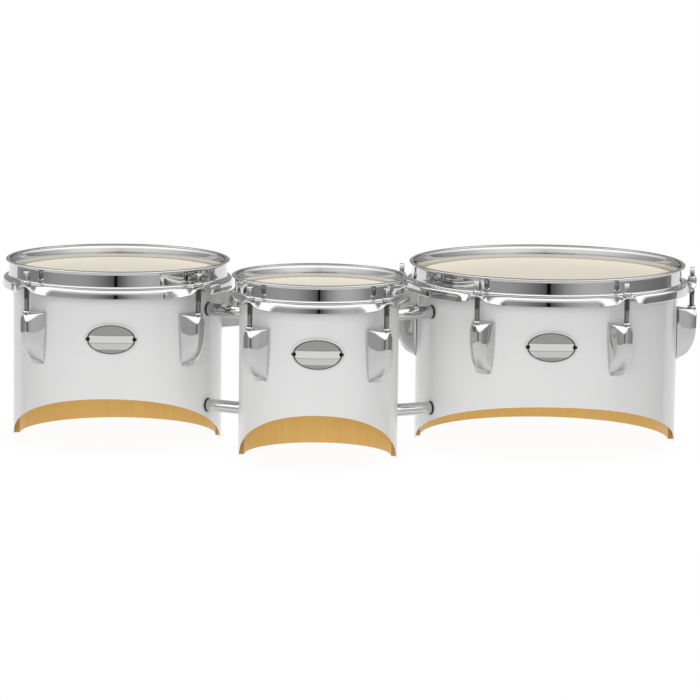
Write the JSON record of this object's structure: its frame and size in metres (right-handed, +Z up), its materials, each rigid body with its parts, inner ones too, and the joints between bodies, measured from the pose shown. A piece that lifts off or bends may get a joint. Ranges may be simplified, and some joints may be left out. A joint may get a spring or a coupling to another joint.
{
  "type": "marching tenor drums",
  "caption": "Small set of marching tenor drums in white scooped shells with chrome triple-flanged hoops, lugs and tension rods, joined by tubes with a carrier bar behind.",
  "frame": {"origin": "middle of the footprint, on the floor under the shells", "axes": "+X from the medium drum to the large drum, +Y to the player, +Z up"},
  "size_m": [0.667, 0.3362, 0.172],
  "materials": {
    "white_shell": "gloss white covering",
    "drumhead": "matt film",
    "chrome": "polished",
    "tension_rod": "polished",
    "badge": "satin",
    "gasket": "matt",
    "bracket": "satin"
  },
  "bodies": {
    "drum_set": {"left_shell": "white_shell", "left_drumhead": "drumhead", "left_badge": "badge", "left_lug_1": "chrome", "left_lug_2": "chrome", "left_lug_3": "chrome", "left_lug_4": "chrome", "middle_shell": "white_shell", "middle_drumhead": "drumhead", "middle_badge": "badge", "middle_lug_1": "chrome", "middle_lug_2": "chrome", "middle_lug_3": "chrome", "middle_lug_4": "chrome", "right_shell": "white_shell", "right_drumhead": "drumhead", "right_badge": "badge", "right_lug_1": "chrome", "right_lug_2": "chrome", "right_lug_3": "chrome", "right_lug_4": "chrome", "right_lug_5": "chrome", "right_lug_6": "chrome", "left_upper_tube": "chrome", "left_upper_tube_inner_gasket": "gasket", "left_upper_tube_outer_gasket": "gasket", "left_lower_tube": "chrome", "left_lower_tube_inner_gasket": "gasket", "left_lower_tube_outer_gasket": "gasket", "right_upper_tube": "chrome", "right_upper_tube_inner_gasket": "gasket", "right_upper_tube_outer_gasket": "gasket", "right_lower_tube": "chrome", "right_lower_tube_inner_gasket": "gasket", "right_lower_tube_outer_gasket": "gasket", "carrier_bracket": "bracket"},
    "left_hoop_body": {"left_hoop": "chrome"},
    "left_tension_rod_1_body": {"left_tension_rod_1": "tension_rod"},
    "left_tension_rod_2_body": {"left_tension_rod_2": "tension_rod"},
    "left_tension_rod_3_body": {"left_tension_rod_3": "tension_rod"},
    "left_tension_rod_4_body": {"left_tension_rod_4": "tension_rod"},
    "middle_hoop_body": {"middle_hoop": "chrome"},
    "middle_tension_rod_1_body": {"middle_tension_rod_1": "tension_rod"},
    "middle_tension_rod_2_body": {"middle_tension_rod_2": "tension_rod"},
    "middle_tension_rod_3_body": {"middle_tension_rod_3": "tension_rod"},
    "middle_tension_rod_4_body": {"middle_tension_rod_4": "tension_rod"},
    "right_hoop_body": {"right_hoop": "chrome"},
    "right_tension_rod_1_body": {"right_tension_rod_1": "tension_rod"},
    "right_tension_rod_2_body": {"right_tension_rod_2": "tension_rod"},
    "right_tension_rod_3_body": {"right_tension_rod_3": "tension_rod"},
    "right_tension_rod_4_body": {"right_tension_rod_4": "tension_rod"},
    "right_tension_rod_5_body": {"right_tension_rod_5": "tension_rod"},
    "right_tension_rod_6_body": {"right_tension_rod_6": "tension_rod"}
  },
  "joints": [
    {"name": "left_hoop_lift", "type": "slide", "parent": "drum_set", "child": "left_hoop_body", "axis": [0, 0, 1], "range_m": [0, 0.018]},
    {"name": "left_tension_rod_1_turn", "type": "hinge", "parent": "left_hoop_body", "child": "left_tension_rod_1_body", "pos_m": [-0.30389, 0.10117, 0.1541], "axis": [0, 0, 1], "range_deg": [0, 6123]},
    {"name": "left_tension_rod_2_turn", "type": "hinge", "parent": "left_hoop_body", "child": "left_tension_rod_2_body", "pos_m": [-0.30389, -0.06033, 0.1541], "axis": [0, 0, 1], "range_deg": [0, 6123]},
    {"name": "left_tension_rod_3_turn", "type": "hinge", "parent": "left_hoop_body", "child": "left_tension_rod_3_body", "pos_m": [-0.14239, -0.06033, 0.1541], "axis": [0, 0, 1], "range_deg": [0, 6123]},
    {"name": "left_tension_rod_4_turn", "type": "hinge", "parent": "left_hoop_body", "child": "left_tension_rod_4_body", "pos_m": [-0.14239, 0.10117, 0.1541], "axis": [0, 0, 1], "range_deg": [0, 6123]},
    {"name": "middle_hoop_lift", "type": "slide", "parent": "drum_set", "child": "middle_hoop_body", "axis": [0, 0, 1], "range_m": [0, 0.018]},
    {"name": "middle_tension_rod_1_turn", "type": "hinge", "parent": "middle_hoop_body", "child": "middle_tension_rod_1_body", "pos_m": [-0.09115, -0.02035, 0.1541], "axis": [0, 0, 1], "range_deg": [0, 6123]},
    {"name": "middle_tension_rod_2_turn", "type": "hinge", "parent": "middle_hoop_body", "child": "middle_tension_rod_2_body", "pos_m": [-0.09115, -0.14594, 0.1541], "axis": [0, 0, 1], "range_deg": [0, 6123]},
    {"name": "middle_tension_rod_3_turn", "type": "hinge", "parent": "middle_hoop_body", "child": "middle_tension_rod_3_body", "pos_m": [0.03443, -0.14594, 0.1541], "axis": [0, 0, 1], "range_deg": [0, 6123]},
    {"name": "middle_tension_rod_4_turn", "type": "hinge", "parent": "middle_hoop_body", "child": "middle_tension_rod_4_body", "pos_m": [0.03443, -0.02035, 0.1541], "axis": [0, 0, 1], "range_deg": [0, 6123]},
    {"name": "right_hoop_lift", "type": "slide", "parent": "drum_set", "child": "right_hoop_body", "axis": [0, 0, 1], "range_m": [0, 0.018]},
    {"name": "right_tension_rod_1_turn", "type": "hinge", "parent": "right_hoop_body", "child": "right_tension_rod_1_body", "pos_m": [0.11904, 0.15324, 0.1541], "axis": [0, 0, 1], "range_deg": [0, 6123]},
    {"name": "right_tension_rod_2_turn", "type": "hinge", "parent": "right_hoop_body", "child": "right_tension_rod_2_body", "pos_m": [0.04924, 0.03234, 0.1541], "axis": [0, 0, 1], "range_deg": [0, 6123]},
    {"name": "right_tension_rod_3_turn", "type": "hinge", "parent": "right_hoop_body", "child": "right_tension_rod_3_body", "pos_m": [0.11904, -0.08855, 0.1541], "axis": [0, 0, 1], "range_deg": [0, 6123]},
    {"name": "right_tension_rod_4_turn", "type": "hinge", "parent": "right_hoop_body", "child": "right_tension_rod_4_body", "pos_m": [0.25864, -0.08855, 0.1541], "axis": [0, 0, 1], "range_deg": [0, 6123]},
    {"name": "right_tension_rod_5_turn", "type": "hinge", "parent": "right_hoop_body", "child": "right_tension_rod_5_body", "pos_m": [0.32844, 0.03234, 0.1541], "axis": [0, 0, 1], "range_deg": [0, 6123]},
    {"name": "right_tension_rod_6_turn", "type": "hinge", "parent": "right_hoop_body", "child": "right_tension_rod_6_body", "pos_m": [0.25864, 0.15324, 0.1541], "axis": [0, 0, 1], "range_deg": [0, 6123]}
  ],
  "couplings": [
    {"joint": "left_tension_rod_1_turn", "follows": "left_hoop_lift", "rad_per_m": 5936.9},
    {"joint": "left_tension_rod_2_turn", "follows": "left_hoop_lift", "rad_per_m": 5936.9},
    {"joint": "left_tension_rod_3_turn", "follows": "left_hoop_lift", "rad_per_m": 5936.9},
    {"joint": "left_tension_rod_4_turn", "follows": "left_hoop_lift", "rad_per_m": 5936.9},
    {"joint": "middle_tension_rod_1_turn", "follows": "middle_hoop_lift", "rad_per_m": 5936.9},
    {"joint": "middle_tension_rod_2_turn", "follows": "middle_hoop_lift", "rad_per_m": 5936.9},
    {"joint": "middle_tension_rod_3_turn", "follows": "middle_hoop_lift", "rad_per_m": 5936.9},
    {"joint": "middle_tension_rod_4_turn", "follows": "middle_hoop_lift", "rad_per_m": 5936.9},
    {"joint": "right_tension_rod_1_turn", "follows": "right_hoop_lift", "rad_per_m": 5936.9},
    {"joint": "right_tension_rod_2_turn", "follows": "right_hoop_lift", "rad_per_m": 5936.9},
    {"joint": "right_tension_rod_3_turn", "follows": "right_hoop_lift", "rad_per_m": 5936.9},
    {"joint": "right_tension_rod_4_turn", "follows": "right_hoop_lift", "rad_per_m": 5936.9},
    {"joint": "right_tension_rod_5_turn", "follows": "right_hoop_lift", "rad_per_m": 5936.9},
    {"joint": "right_tension_rod_6_turn", "follows": "right_hoop_lift", "rad_per_m": 5936.9}
  ]
}
